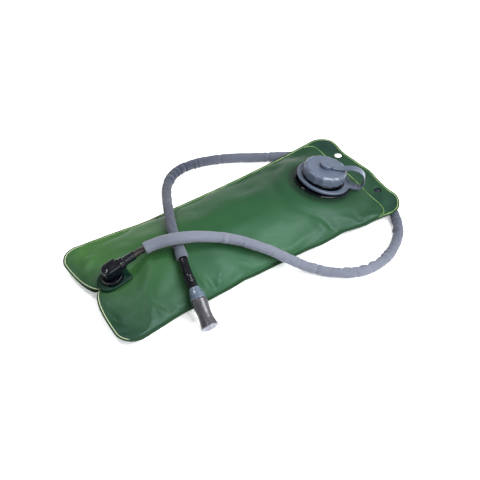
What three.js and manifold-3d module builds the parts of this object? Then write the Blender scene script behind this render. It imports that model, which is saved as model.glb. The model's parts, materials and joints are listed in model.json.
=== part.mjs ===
// Hydration bladder: a welded film reservoir with a screw-cap filler, a tethered cap, a right-angle
// outlet and a sleeved drink tube that ends in a push-pull bite valve.
// Millimetres, +Z up. +X runs from the outlet end to the filler end, and the origin is on the
// surface that the bag lies on, under the middle of the bag.
import * as THREE from 'three';
import { mergeVertices } from 'three/addons/utils/BufferGeometryUtils.js';
import Module from 'manifold-3d';

const wasm = await Module();
wasm.setup();

// ---- Driving dimensions ----------------------------------------------------------------------
const GAP = 0.3; // clearance between pieces that touch

const BAG = {
  length: 421, width: 176, cornerRadius: 25, sideDip: 9, crown: 41, film: 1,
  outletSeam: 13, headerSeam: 15, outletWeldX: -205, headerWeldX: 181, sideWeld: 5,
  fullnessX: 3.2, fullnessY: 2.4, liftX: 138,
};
const UNDERSIDE = { fullnessX: 4, fullnessY: 3.4, depth: 1.45 };
const HELD_FLAT = { fillerMargin: 4, fillerBlend: 16, outletRadius: 30, outletBlend: 14 };
const NOTCH = { y: 5, depth: 9, halfWidth: 14, rise: 3, reach: 40 };
const HOLES = { x: 197, y: 42.5, radius: 5 };

const FILLER = {
  x: 136.3, z: 29.2, tilt: 13, flangeRadius: 38, flange: 2, bore: 22.5, neckRadius: 25,
  collarRadius: 25.8, collarTop: 8, neckTop: 20.3,
};
const THREAD = { lead: 4, turns: 1.5, start: 11.5, depth: 1.4, root: 1.8, tip: 0.9 };
const GASKET = { inner: 20.6, outer: 25.9 };
const CAP = { radius: 29.1, facets: 16, facetDepth: 0.8, skirt: 10, top: 24, plate: 2.4, bore: 27 };
const RING = { inner: 26.4, outer: 36, bottom: 3, top: 5.2, bead: 7, beadWidth: 1.6, lean: 4, drop: 0.7 };
const TETHER = { angle: -42, width: 10, thickness: 1.8, tabReach: 46, tabRootWidth: 26 };
const EYE = { inner: 3.6, radius: 8.2, rise: 0.6, thickness: 2.2 };
const BUTTON = { stem: 3.2, head: 8.6, foot: 5, rise: 3.1, thickness: 1.8 };

const OUTLET = { x: -173.6, y: 4.2, z: 26, tilt: 11.3, yaw: 2, bore: 7 };
const PATCH = { radius: 16.3, centre: -5, front: 20, corner: 4, thickness: 1.8, ridge: 0.8 };
const SOCKET = { radius: 13.8, height: 6.8, lip: 12.2 };
const ELBOW = { radius: 8.75, back: -1.5, front: 12, bottom: 7.4, top: 21, axis: 14, passage: 3 };

const TUBE = { radius: 4.1, sides: 8, steps: 64 };
const SLEEVE = { radius: 6.4, inner: 5.5, fromStep: 1.8, toStep: 61.5 };
const NUT = { inner: 4.8, radius: 7.1, waist: 6.5, length: 7 };
const BOOT = { radius: 5, inner: 4.6, length: 15, ribs: 4 };
const BITE = { collar: 15.5, length: 53 };

// The drink tube's centreline, from the elbow's spigot over the bag, off its near side, round a
// floor loop, under the header, along the far side, back over the bag and down to the bite valve.
const TUBE_ROUTE = [
  [-155.8, 4.9, 43.8], [-138.2, 5.6, 47.3], [-126, 4.4, 50.4], [-110, -1.6, 55.8],
  [-98, -9, 60.2], [-84.5, -16, 61.7], [-69.6, -21.6, 59.6], [-38.8, -33.8, 50.4],
  [-22, -45, 45], [-8, -57.4, 39.4], [6.4, -69, 32], [19.4, -81.4, 23.5],
  [33, -93.6, 14.6], [47, -106, 8.8], [61, -119.4, 6.6], [76, -131.6, 6.5],
  [99, -141.2, 6.5], [121, -141.8, 6.5], [142, -136.4, 6.5], [173, -116, 6.5],
  [183, -103, 6.5], [191, -89, 6.5], [203, -48, 6.5], [203, -8, 6.5],
  [190, 44, 6.5], [148, 86.5, 6.5], [123, 101, 6.5], [76, 129.5, 6.5],
  [50, 141, 6.5], [27, 147.4, 6.5], [4, 147.6, 6.8], [-17, 136.4, 9],
  [-36, 111.6, 15.2], [-49.2, 87.6, 24.6], [-62.6, 60.2, 36.8], [-81.7, 17.3, 47.2],
  [-92.8, -19, 46.8], [-103.2, -56, 37.8], [-105, -68.4, 33.9],
];
const VALVE_START = new THREE.Vector3(-105, -69.2, 33.5);
const VALVE_AIM = new THREE.Vector3(-0.134, -0.897, -0.424).normalize();

// ---- Materials -------------------------------------------------------------------------------
const material = (color, roughness) => new THREE.MeshStandardMaterial({ color, roughness, metalness: 0 });
const FILM_GREEN = material(0x3f6f50, 0.4);
const PATCH_GREEN = material(0x24463a, 0.45);
const SLATE = material(0x5a6480, 0.5);
const BLACK = material(0x14181c, 0.35);
const BLACK_TUBE = material(0x24201f, 0.35);
const SLEEVE_GREY = material(0x8c94a4, 0.95);
const CLEAR_BLUE = material(0x8a9db2, 0.25);
const SMOKE_SILICONE = material(0x878788, 0.3);
const SEAL = material(0x2a2d30, 0.6);

// ---- Small helpers ---------------------------------------------------------------------------
const clamp01 = (value) => Math.min(1, Math.max(0, value));
const smooth = (value) => clamp01(value) ** 2 * (3 - 2 * clamp01(value));
const mix = (a, b, t) => a + (b - a) * t;
const radians = THREE.MathUtils.degToRad;

function positionsOnly(geometry) {
  const bare = geometry.clone();
  bare.deleteAttribute('normal');
  bare.deleteAttribute('uv');
  return mergeVertices(bare, 1e-4);
}

// A block of nx by ny by nz cells whose points are carried to a new shape by place(u, v, w),
// with u, v and w running from 0 to 1 along the block.
function formed(nx, ny, nz, place) {
  const block = positionsOnly(new THREE.BoxGeometry(1, 1, 1, nx, ny, nz));
  const points = block.attributes.position;
  for (let i = 0; i < points.count; i += 1) {
    const [x, y, z] = place(points.getX(i) + 0.5, points.getY(i) + 0.5, points.getZ(i) + 0.5);
    points.setXYZ(i, x, y, z);
  }
  return block;
}

function solid(geometry) {
  const bare = positionsOnly(geometry);
  const mesh = new wasm.Mesh({
    numProp: 3,
    vertProperties: new Float32Array(bare.attributes.position.array),
    triVerts: new Uint32Array(bare.index.array),
  });
  return new wasm.Manifold(mesh);
}

function fromSolid(body) {
  const mesh = body.getMesh();
  const geometry = new THREE.BufferGeometry();
  geometry.setAttribute('position', new THREE.BufferAttribute(new Float32Array(mesh.vertProperties), 3));
  geometry.setIndex(new THREE.BufferAttribute(new Uint32Array(mesh.triVerts), 1));
  geometry.computeVertexNormals();
  return geometry;
}

// A turned piece about local Z, from [radius, height] points in order round the section.
function turned(profile, segments) {
  const points = profile.map(([radius, height]) => new THREE.Vector2(radius, height));
  return new THREE.LatheGeometry(points, segments).rotateX(Math.PI / 2);
}

const closedRing = (profile) => [...profile, profile[0]];

function rod(radius, from, to, segments = 24) {
  const length = to - from;
  const bar = new THREE.CylinderGeometry(radius, radius, length, segments);
  return bar.rotateX(Math.PI / 2).translate(0, 0, from + length / 2);
}

function node(name, geometry, look) {
  geometry.computeVertexNormals();
  const mesh = new THREE.Mesh(geometry, look);
  mesh.name = name;
  return mesh;
}

// ---- The bag's shape -------------------------------------------------------------------------
const halfLength = BAG.length / 2;
const halfWidth = BAG.width / 2;

// Half the bag's width at x: dipped in along its sides and rounded at its corners.
function edgeY(x) {
  const straight = halfLength - BAG.cornerRadius;
  const past = Math.abs(x) - straight;
  if (past <= 0) return halfWidth - BAG.sideDip * (1 - (x / straight) ** 2);
  return halfWidth - BAG.cornerRadius + Math.sqrt(Math.max(0, BAG.cornerRadius ** 2 - past ** 2));
}

// How far the fold in the middle of the outlet end draws the seam in towards the outlet.
function notch(x, y) {
  const fold = Math.exp(-Math.abs(y - NOTCH.y) / NOTCH.halfWidth);
  return fold * smooth((-x - halfLength + NOTCH.reach) / NOTCH.reach);
}

function seamZ(x, y) {
  const along = clamp01(x / BAG.length + 0.5);
  return mix(BAG.outletSeam, BAG.headerSeam, along) + NOTCH.rise * notch(x, y);
}

// 0 on the welds and 1 where the bag is fullest; endX is where the fullness ends towards +X.
function fullness(x, y, endX, powerX, powerY) {
  const middle = (BAG.outletWeldX + endX) / 2;
  const along = Math.min(1, Math.abs(x - middle) / (endX - middle));
  const across = Math.min(1, Math.abs(y) / (edgeY(x) - BAG.sideWeld));
  return (1 - along ** powerX) * (1 - across ** powerY) ** 0.75;
}

// A fitting's welded base holds the film flat: returns the film's height near it.
function heldFlat(z, x, y, centre, slope, height, flatRadius, blend) {
  const away = Math.hypot(x - centre[0], y - centre[1]) - flatRadius;
  return mix(height + slope * (x - centre[0]), z, smooth(away / blend));
}

function upperZ(x, y) {
  const seam = seamZ(x, y) + GAP / 2 + BAG.film;
  const full = fullness(x, y, BAG.headerWeldX, BAG.fullnessX, BAG.fullnessY);
  let z = seam + (BAG.crown - seam) * full;
  const fillerSlope = -Math.tan(radians(FILLER.tilt));
  const outletSlope = Math.tan(radians(OUTLET.tilt));
  const underFlange = FILLER.z - GAP / Math.cos(radians(FILLER.tilt));
  const underPatch = OUTLET.z - (PATCH.thickness + GAP) / Math.cos(radians(OUTLET.tilt)) - GAP;
  const { fillerMargin, fillerBlend, outletRadius, outletBlend } = HELD_FLAT;
  const fillerRadius = FILLER.flangeRadius + fillerMargin;
  z = heldFlat(z, x, y, [FILLER.x, 0], fillerSlope, underFlange, fillerRadius, fillerBlend);
  const patchMiddle = OUTLET.x + PATCH.centre / 2;
  const patchHeight = underPatch + outletSlope * (patchMiddle - OUTLET.x);
  return heldFlat(z, x, y, [patchMiddle, OUTLET.y], outletSlope, patchHeight, outletRadius, outletBlend);
}

// The underside rests flat under the middle, and stays up at the header, where the tube passes.
function lowerZ(x, y) {
  const seam = seamZ(x, y) - GAP / 2 - BAG.film;
  const full = fullness(x, y, BAG.liftX, UNDERSIDE.fullnessX, UNDERSIDE.fullnessY);
  return Math.max(0, seam * (1 - UNDERSIDE.depth * full));
}

// Columns of the film crowd towards its ends and rows towards its sides, where it curves most.
const CROWDING = { columns: 0.55, rows: 0.35 };
const crowded = (u, amount) => (u - 0.5) * 2 + (amount * Math.sin((u - 0.5) * 2 * Math.PI)) / Math.PI;

function filmPoint(u, v) {
  const x0 = crowded(u, CROWDING.columns) * halfLength;
  const y = crowded(v, CROWDING.rows) * edgeY(x0);
  const x = x0 + NOTCH.depth * notch(x0, y);
  return [x, y];
}

const FILM_CELLS = [30, 14];
const HEADER_COLUMNS = 6;

function upperFilmShape() {
  return formed(...FILM_CELLS, 1, (u, v, w) => {
    const [x, y] = filmPoint(u, v);
    return [x, y, upperZ(x, y) - BAG.film * (1 - w)];
  });
}

function lowerFilmShape() {
  return formed(...FILM_CELLS, 1, (u, v, w) => {
    const [x, y] = filmPoint(u, v);
    return [x, y, lowerZ(x, y) + BAG.film * w];
  });
}

function hangHoleCutters() {
  const cutter = (y) => solid(rod(HOLES.radius, 0, 40, 16).translate(HOLES.x, y, 0));
  return cutter(HOLES.y).add(cutter(-HOLES.y));
}

// Everything from the header weld on, which both films leave to the header strip.
function pastHeaderWeld() {
  const from = BAG.headerWeldX - GAP / 2;
  const box = new THREE.BoxGeometry(BAG.length, BAG.length, BAG.length);
  return solid(box.translate(from + BAG.length / 2, 0, 0));
}

function upperFilm() {
  const filler = solid(inFillerFrame(rod(FILLER.bore + 1.2, -12, 12, 30)));
  const outlet = solid(inOutletFrame(rod(OUTLET.bore + 0.6, -12, 12, 20)));
  const film = solid(upperFilmShape()).subtract(pastHeaderWeld()).subtract(filler).subtract(outlet);
  return node('upper_film', fromSolid(film), FILM_GREEN);
}

function lowerFilm() {
  return node('lower_film', fromSolid(solid(lowerFilmShape()).subtract(pastHeaderWeld())), FILM_GREEN);
}

// Past the header weld the two films are one flat strip, with two holes that the bag hangs from.
function headerStrip() {
  const from = BAG.headerWeldX + GAP / 2;
  const strip = formed(HEADER_COLUMNS, FILM_CELLS[1], 1, (u, v, w) => {
    const x = mix(from, halfLength, Math.sin((u * Math.PI) / 2));
    const y = crowded(v, CROWDING.rows) * edgeY(x);
    return [x, y, mix(lowerZ(x, y), upperZ(x, y), w)];
  });
  return node('header_strip', fromSolid(solid(strip).subtract(hangHoleCutters())), FILM_GREEN);
}

// ---- The filler: neck, cap and tether --------------------------------------------------------
function fillerMatrix() {
  const matrix = new THREE.Matrix4().makeRotationY(radians(FILLER.tilt));
  return matrix.setPosition(FILLER.x, 0, FILLER.z);
}

function inFillerFrame(geometry) {
  return geometry.applyMatrix4(fillerMatrix());
}

// One helical thread ridge. side is 1 for a ridge that stands out, and -1 for one that stands in.
function threadRidge(wallRadius, side, startHeight, turns) {
  return formed(Math.round(24 * turns), 1, 1, (u, v, w) => {
    const angle = u * turns * Math.PI * 2;
    const runOut = mix(0.35, 1, smooth(Math.min(u, 1 - u) * 8));
    const radius = wallRadius + side * mix(-0.5, THREAD.depth * runOut, v);
    const width = mix(THREAD.root, THREAD.tip, v) * mix(0.7, 1, runOut);
    const height = startHeight + THREAD.lead * turns * u + (w - 0.5) * width * side;
    return [radius * Math.cos(angle), radius * Math.sin(angle), height];
  });
}

function fillerNeck() {
  const { bore, neckRadius, collarRadius, collarTop, flangeRadius, flange, neckTop } = FILLER;
  const body = turned(closedRing([
    [bore, 0], [flangeRadius - 0.8, 0], [flangeRadius, 0.8], [flangeRadius - 0.6, flange],
    [collarRadius + 0.4, flange], [collarRadius, flange + 0.6], [collarRadius, collarTop],
    [neckRadius, collarTop + 0.8], [neckRadius, neckTop - 0.5], [neckRadius - 0.6, neckTop],
    [bore + 0.5, neckTop], [bore, neckTop - 0.5],
  ]), 36);
  const ridge = threadRidge(neckRadius, 1, THREAD.start, THREAD.turns);
  return node('filler_neck', fromSolid(solid(body).add(solid(ridge))), BLACK);
}

// Pulls a turned skirt's outer wall in to flat facets with rounded arrises.
function faceted(geometry, fromRadius) {
  const points = geometry.attributes.position;
  const pitch = (Math.PI * 2) / CAP.facets;
  for (let i = 0; i < points.count; i += 1) {
    const x = points.getX(i);
    const y = points.getY(i);
    const radius = Math.hypot(x, y);
    if (radius > fromRadius) {
      const turn = (Math.atan2(y, x) / pitch) * Math.PI * 2;
      const scale = (radius - CAP.facetDepth * (0.5 + 0.5 * Math.cos(turn))) / radius;
      points.setXYZ(i, x * scale, y * scale, points.getZ(i));
    }
  }
  return geometry;
}

function capShell() {
  const { radius, skirt, top, plate, bore } = CAP;
  const body = faceted(turned(closedRing([
    [3.6, top - plate], [bore - 0.4, top - plate], [bore, top - plate - 0.4], [bore, skirt],
    [radius - 0.7, skirt], [radius, skirt + 0.7], [radius, top - 2.2], [radius - 0.7, top - 0.6],
    [radius - 2.4, top], [3.6, top],
  ]), 64), bore + 0.5);
  const ridge = threadRidge(bore, -1, THREAD.start + THREAD.lead / 2, 1);
  return node('cap_shell', fromSolid(solid(body).add(solid(ridge))), SLATE);
}

function capGasket() {
  const bottom = FILLER.neckTop + GAP;
  const top = CAP.top - CAP.plate - GAP;
  const { inner, outer } = GASKET;
  const profile = [[inner, bottom], [outer, bottom], [outer, top], [inner, top]];
  return node('cap_gasket', turned(closedRing(profile), 30), SEAL);
}

// The button that holds the tether's eye: a stem through the cap's plate with a head at each end.
function capButton() {
  const under = CAP.top - CAP.plate - GAP;
  const { stem, head, foot, rise, thickness } = BUTTON;
  const seat = CAP.top + rise;
  const profile = [
    [0, under - 1.4], [foot, under - 1.4], [foot, under], [stem, under], [stem, seat],
    [head, seat], [head, seat + thickness - 0.5], [head - 0.6, seat + thickness], [0, seat + thickness],
  ];
  return node('cap_button', turned(profile, 24), SLATE);
}

// The ring lies loose round the neck: its tab rests low and the strap draws its far side up.
function tetherRing() {
  const { inner, outer, bottom, top, bead, beadWidth, lean, drop } = RING;
  const hoop = solid(turned(closedRing([
    [inner, bottom], [outer - 0.5, bottom], [outer, bottom + 0.5], [outer, bead - 0.4],
    [outer - 0.4, bead], [outer - beadWidth, bead], [outer - beadWidth - 0.5, top], [inner, top],
  ]), 40));
  const tab = solid(formed(6, 4, 1, (u, v, w) => {
    const reach = mix(outer - 3, TETHER.tabReach, u);
    const half = mix(TETHER.tabRootWidth, TETHER.width, smooth(u * 1.15)) / 2;
    return [reach, (v - 0.5) * 2 * half, mix(bottom, top - 0.2, w)];
  }));
  const ring = fromSolid(hoop.add(tab)).rotateY(radians(lean));
  ring.translate(0, 0, outer * Math.sin(radians(lean)) - drop);
  return node('tether_ring', ring.rotateZ(radians(TETHER.angle)), SLATE);
}

function tetherEye() {
  const { inner, radius, rise, thickness } = EYE;
  const bottom = CAP.top + rise;
  const top = bottom + thickness;
  const profile = [
    [inner, bottom], [radius - 0.4, bottom], [radius, bottom + 0.4],
    [radius, top - 0.5], [radius - 0.5, top], [inner, top],
  ];
  return node('tether_eye', turned(closedRing(profile), 20), SLATE);
}

// The strap leaves the eye, arches over the cap's rim and folds back down to the ring's tab.
const STRAP_LINE = [
  [8.6, 25.7], [18, 26.8], [26, 29], [34, 31], [42, 30], [49, 25.5],
  [52.6, 19], [52.8, 12], [50.8, 6], [47, 2.9],
];

function tetherStrap() {
  const line = new THREE.CatmullRomCurve3(STRAP_LINE.map(([x, z]) => new THREE.Vector3(x, 0, z)));
  const strap = formed(22, 1, 1, (u, v, w) => {
    const centre = line.getPointAt(u);
    const along = line.getTangentAt(u);
    const out = (w - 0.5) * TETHER.thickness;
    const half = TETHER.width / 2;
    return [centre.x - along.z * out, (v - 0.5) * 2 * half, centre.z + along.x * out];
  });
  return node('tether_strap', strap.rotateZ(radians(TETHER.angle)), SLATE);
}

function fillerGroup() {
  const group = new THREE.Group();
  group.applyMatrix4(fillerMatrix());
  group.add(fillerNeck(), capShell(), capGasket(), capButton(), tetherRing(), tetherEye(), tetherStrap());
  return group;
}

// ---- The outlet: patch, socket and elbow -----------------------------------------------------
function outletMatrix() {
  const matrix = new THREE.Matrix4().makeRotationY(-radians(OUTLET.tilt));
  return matrix.setPosition(OUTLET.x, OUTLET.y, OUTLET.z);
}

function inOutletFrame(geometry) {
  return geometry.applyMatrix4(outletMatrix());
}

// A flat plate that is a half circle towards the outlet end and square towards the hose.
function roundBackedPlate(radius, centre, front, corner, from, to) {
  const outline = new THREE.Shape();
  outline.absarc(centre, 0, radius, Math.PI / 2, Math.PI * 1.5, false);
  outline.absarc(front - corner, corner - radius, corner, -Math.PI / 2, 0, false);
  outline.absarc(front - corner, radius - corner, corner, 0, Math.PI / 2, false);
  const plate = new THREE.ExtrudeGeometry(outline, { depth: to - from, bevelEnabled: false, curveSegments: 6 });
  return plate.translate(0, 0, from);
}

function outletPatch() {
  const { radius, centre, front, corner, thickness, ridge } = PATCH;
  let patch = solid(roundBackedPlate(radius, centre, front, corner, -thickness, 0));
  for (const inset of [2, 5]) {
    const edge = roundBackedPlate(radius - inset, centre, front - inset, corner - inset / 3, -0.2, ridge);
    const inner = roundBackedPlate(
      radius - inset - 1.4, centre, front - inset - 1.4, corner - inset / 3, -1, ridge + 1);
    patch = patch.add(solid(edge).subtract(solid(inner)));
  }
  patch = patch.subtract(solid(rod(SOCKET.radius + 0.4, 0, 5, 30)));
  patch = patch.subtract(solid(rod(OUTLET.bore + GAP, -5, 5, 24)));
  return node('outlet_patch', fromSolid(patch), PATCH_GREEN);
}

function outletSocket() {
  const { bore } = OUTLET;
  const { radius, height, lip } = SOCKET;
  const floor = height - 1;
  const profile = [
    [bore, GAP], [radius, GAP], [radius, height - 1.2], [radius - 0.6, height], [lip, height],
    [lip - 0.6, floor], [bore + 0.4, floor], [bore, floor - 0.4],
  ];
  return node('outlet_socket', turned(closedRing(profile), 30), BLACK);
}

function elbowBody() {
  const { radius, back, front, bottom, top, axis, passage } = ELBOW;
  const block = solid(roundBackedPlate(radius, back, front, 1.5, bottom, top));
  const crown = solid(roundBackedPlate(radius - 1.2, back, front, 1.2, top - 0.5, top + 1));
  const plug = solid(turned([
    [0, 1], [6.2, 1], [6.6, 1.6], [6.6, 2.4], [5.2, 2.4], [5.2, 4], [6.6, 4], [6.6, 6.2], [0, 6.2],
  ], 24));
  const shoulder = solid(rod(8, 6.1, bottom + 0.5, 24));
  const spigot = solid(rod(4.4, front - 1, 20.7, 16).rotateY(Math.PI / 2).translate(0, 0, axis));
  const drop = solid(rod(passage, 0, axis + 1, 14));
  const outflow = solid(rod(passage - 0.4, 0, 30, 14).rotateY(Math.PI / 2).translate(0, 0, axis));
  const body = block.add(crown).add(plug).add(shoulder).add(spigot).subtract(drop).subtract(outflow);
  return node('elbow_body', fromSolid(body), BLACK);
}

function elbowSeal() {
  const seal = new THREE.TorusGeometry(6.05, 0.7, 6, 24).translate(0, 0, 3.2);
  return node('elbow_seal', seal, SEAL);
}

// A turned piece whose axis lies along the elbow's spigot.
function onSpigot(profile, segments) {
  return turned(profile, segments).rotateY(Math.PI / 2).translate(0, 0, ELBOW.axis);
}

function hoseNut() {
  const from = ELBOW.front + GAP;
  const { inner, radius, waist, length } = NUT;
  const to = from + length;
  const profile = [
    [inner, from], [radius - 0.3, from], [radius, from + 0.5], [radius, from + 2], [waist, from + 2.4],
    [waist, to - 1.8], [radius - 0.2, to - 1.4], [radius - 0.2, to - 0.4], [waist - 0.1, to], [inner, to],
  ];
  return node('hose_nut', onSpigot(closedRing(profile), 20), BLACK);
}

function outletBoot() {
  const from = ELBOW.front + GAP + NUT.length + GAP;
  const { radius, inner, length, ribs } = BOOT;
  const profile = [[inner, from]];
  const pitch = (length - 4) / ribs;
  for (let i = 0; i < ribs; i += 1) {
    const start = from + i * pitch;
    profile.push([radius, start + 0.01], [radius, start + pitch - 1], [radius - 0.25, start + pitch - 0.8]);
    profile.push([radius - 0.25, start + pitch - 0.3]);
  }
  profile.push([radius, from + length - 4], [radius, from + length - 0.5], [radius - 0.3, from + length]);
  profile.push([inner, from + length]);
  return node('outlet_boot', onSpigot(closedRing(profile), 12), BLACK);
}

function outletGroup() {
  const group = new THREE.Group();
  group.applyMatrix4(outletMatrix());
  const turning = new THREE.Group();
  turning.rotation.z = radians(OUTLET.yaw);
  turning.add(elbowBody(), elbowSeal(), hoseNut(), outletBoot());
  group.add(outletPatch(), outletSocket(), turning);
  return group;
}

// ---- The drink tube and its sleeve -----------------------------------------------------------
const tubeLine = new THREE.CatmullRomCurve3(TUBE_ROUTE.map((point) => new THREE.Vector3(...point)));
tubeLine.arcLengthDivisions = 2000;

// A stretch of the tube's centreline, from one of the tube's steps to another.
class Stretch extends THREE.Curve {
  constructor(fromStep, toStep) {
    super();
    this.from = fromStep / TUBE.steps;
    this.to = toStep / TUBE.steps;
  }

  getPoint(t, target = new THREE.Vector3()) {
    return tubeLine.getPointAt(mix(this.from, this.to, t), target);
  }
}

function hoseSection(radius, sides, inner) {
  const corner = (index, size) => {
    const angle = (index / sides) * Math.PI * 2;
    return new THREE.Vector2(size * Math.cos(angle), size * Math.sin(angle));
  };
  const corners = (size) => Array.from({ length: sides }, (_, index) => corner(index, size));
  const section = new THREE.Shape(corners(radius));
  if (inner) section.holes.push(new THREE.Path(corners(inner)));
  return section;
}

function hose(name, fromStep, toStep, radius, inner, look) {
  const section = hoseSection(radius, TUBE.sides, inner);
  const path = new Stretch(fromStep, toStep);
  const steps = Math.ceil(toStep - fromStep);
  return node(name, positionsOnly(new THREE.ExtrudeGeometry(section, { steps, extrudePath: path })), look);
}

// ---- The bite valve --------------------------------------------------------------------------
function biteCollar() {
  const { collar } = BITE;
  const profile = [
    [4.6, 0], [6, 0], [6.3, 0.4], [7.4, 5], [8.7, 9.5], [9.1, collar], [8.1, collar], [7.8, 9.6],
    [6.4, 7.6], [5.6, 3.2], [4.6, 2.6],
  ];
  return node('bite_collar', turned(closedRing(profile), 20), CLEAR_BLUE);
}

function biteStem() {
  const profile = [
    [1.9, 3.5], [5.2, 3.5], [5.2, 5.2], [3.3, 5.6], [3.3, 17.4], [2.5, 17.4], [2.5, 19], [3.3, 19],
    [3.3, 25], [2.4, 28], [1.9, 28],
  ];
  return node('bite_stem', turned(closedRing(profile), 14), CLEAR_BLUE);
}

function biteSeal() {
  return node('bite_seal', new THREE.TorusGeometry(3.35, 0.7, 6, 16).translate(0, 0, 18.2), SEAL);
}

function mouthpiece() {
  const { collar, length } = BITE;
  const start = collar + GAP;
  const body = solid(turned([
    [4.4, 10], [7.3, 10], [7.3, start], [9, start], [9.2, start + 1], [8.9, start + 2], [8.7, start + 7],
    [8, start + 15], [7.8, start + 21], [8.5, start + 28], [10, start + 34], [10.4, length - 1.5],
    [9.8, length], [0, length], [0, length - 3], [7.6, length - 3], [6, length - 8], [4.9, 32], [4.4, 26],
    [4.4, 10],
  ], 22));
  const slit = solid(new THREE.BoxGeometry(12, 0.8, 8).translate(0, 0, length));
  return node('mouthpiece', fromSolid(body.subtract(slit)), SMOKE_SILICONE);
}

function biteGroup() {
  const group = new THREE.Group();
  const side = new THREE.Vector3(1, 0, 0).addScaledVector(VALVE_AIM, -VALVE_AIM.x).normalize();
  const up = new THREE.Vector3().crossVectors(VALVE_AIM, side);
  const matrix = new THREE.Matrix4().makeBasis(side, up, VALVE_AIM).setPosition(VALVE_START);
  group.applyMatrix4(matrix);
  group.add(biteCollar(), biteStem(), biteSeal(), mouthpiece());
  return group;
}

// ---- The whole object ------------------------------------------------------------------------
const bladder = new THREE.Group();
bladder.add(upperFilm(), lowerFilm(), headerStrip(), fillerGroup(), outletGroup());
bladder.add(hose('drink_tube', 0, TUBE.steps, TUBE.radius, 0, BLACK_TUBE));
bladder.add(hose('tube_sleeve', SLEEVE.fromStep, SLEEVE.toStep, SLEEVE.radius, SLEEVE.inner, SLEEVE_GREY));
bladder.add(hose('bite_boot', SLEEVE.toStep + 0.05, TUBE.steps, BOOT.radius, BOOT.inner, BLACK));
bladder.add(biteGroup());

export default bladder;
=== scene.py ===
"""Looks of the hydration bladder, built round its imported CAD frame.

Lengths are in millimetres in the row frame (+X to the filler end, +Z up) until a mesh is made,
which turns them into metres. Materials, lamps and the camera are given in metres.
"""
import json
import math

import bmesh
import bpy
import numpy as np
from mathutils import Matrix, Vector, noise


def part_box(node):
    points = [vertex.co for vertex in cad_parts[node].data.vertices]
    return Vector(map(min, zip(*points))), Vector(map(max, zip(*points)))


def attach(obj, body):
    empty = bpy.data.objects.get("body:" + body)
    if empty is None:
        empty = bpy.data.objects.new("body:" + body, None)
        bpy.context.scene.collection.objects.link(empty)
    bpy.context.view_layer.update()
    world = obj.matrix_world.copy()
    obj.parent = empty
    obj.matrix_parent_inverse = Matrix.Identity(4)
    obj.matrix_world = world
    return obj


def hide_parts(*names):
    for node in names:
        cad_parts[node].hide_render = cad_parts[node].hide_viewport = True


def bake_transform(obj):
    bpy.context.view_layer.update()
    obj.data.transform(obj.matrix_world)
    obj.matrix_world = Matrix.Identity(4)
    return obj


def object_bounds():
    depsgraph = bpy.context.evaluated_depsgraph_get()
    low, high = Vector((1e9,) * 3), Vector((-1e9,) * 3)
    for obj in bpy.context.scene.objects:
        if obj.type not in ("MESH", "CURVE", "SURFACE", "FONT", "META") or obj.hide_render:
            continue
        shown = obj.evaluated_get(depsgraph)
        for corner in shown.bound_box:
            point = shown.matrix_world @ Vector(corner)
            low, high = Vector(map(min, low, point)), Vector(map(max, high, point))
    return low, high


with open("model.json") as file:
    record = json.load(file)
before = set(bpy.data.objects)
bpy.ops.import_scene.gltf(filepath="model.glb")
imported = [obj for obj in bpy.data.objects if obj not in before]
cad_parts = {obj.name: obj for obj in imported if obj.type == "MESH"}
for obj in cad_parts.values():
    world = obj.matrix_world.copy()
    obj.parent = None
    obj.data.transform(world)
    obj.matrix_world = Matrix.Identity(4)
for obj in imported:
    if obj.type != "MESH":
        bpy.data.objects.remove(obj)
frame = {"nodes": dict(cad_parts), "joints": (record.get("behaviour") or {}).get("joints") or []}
CAD_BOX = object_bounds()
JOINTS = {joint["name"]: joint for joint in frame["joints"]}
MM = 0.001

# ---- Dimensions that several pieces share
HALF_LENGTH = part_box("header_strip")[1].x / MM
HALF_WIDTH = 88
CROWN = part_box("upper_film")[1].z / MM
CORNER_RADIUS = 25
SIDE_DIP = 9
SEAM = {"outlet": 13, "header": 15}
HEADER_WELD_X = 181
OUTLET_WELD_X = -205
LIFT_X = 138
NOTCH = {"y": 5, "depth": 13.5, "half_width": 20, "rise": 3, "reach": 40}
HOLES = {"x": 197, "y": 42.5, "radius": 5}
FILM_THICKNESS = 0.6
SEAM_LIFT = 0.64
FILLER_TILT = 13
FLANGE_FLAT = {"radius": 40, "blend": 30}
THREAD_PITCH = 4
CAP_TOP = 24
CAP_SKIRT = 11
CAP_RADIUS = 29.1
CAP_FACETS = 16
FACET_DEPTH = 2.2  # times what a plain sixteen-sided outline would cut in
TETHER_ANGLE = -42
RING_OUTER = 36
RING_LEAN = 4
RING_DROP = 0.7
TAB = {"reach": 46.2, "half_width": 5.4, "blend": 0.38, "swell": 10.2}
OUTLET_TILT = 11.3
PATCH_FLAT = {"radius": 24, "blend": 26}
PATCH_PLAN = {"radius": 16.3, "back": -5, "front": 20, "corner": 5}
ELBOW_PLAN = {"radius": 8.75, "back": -1.5, "front": 12}
ELBOW_TURN = 2
SPIGOT_HEIGHT = 14

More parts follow.
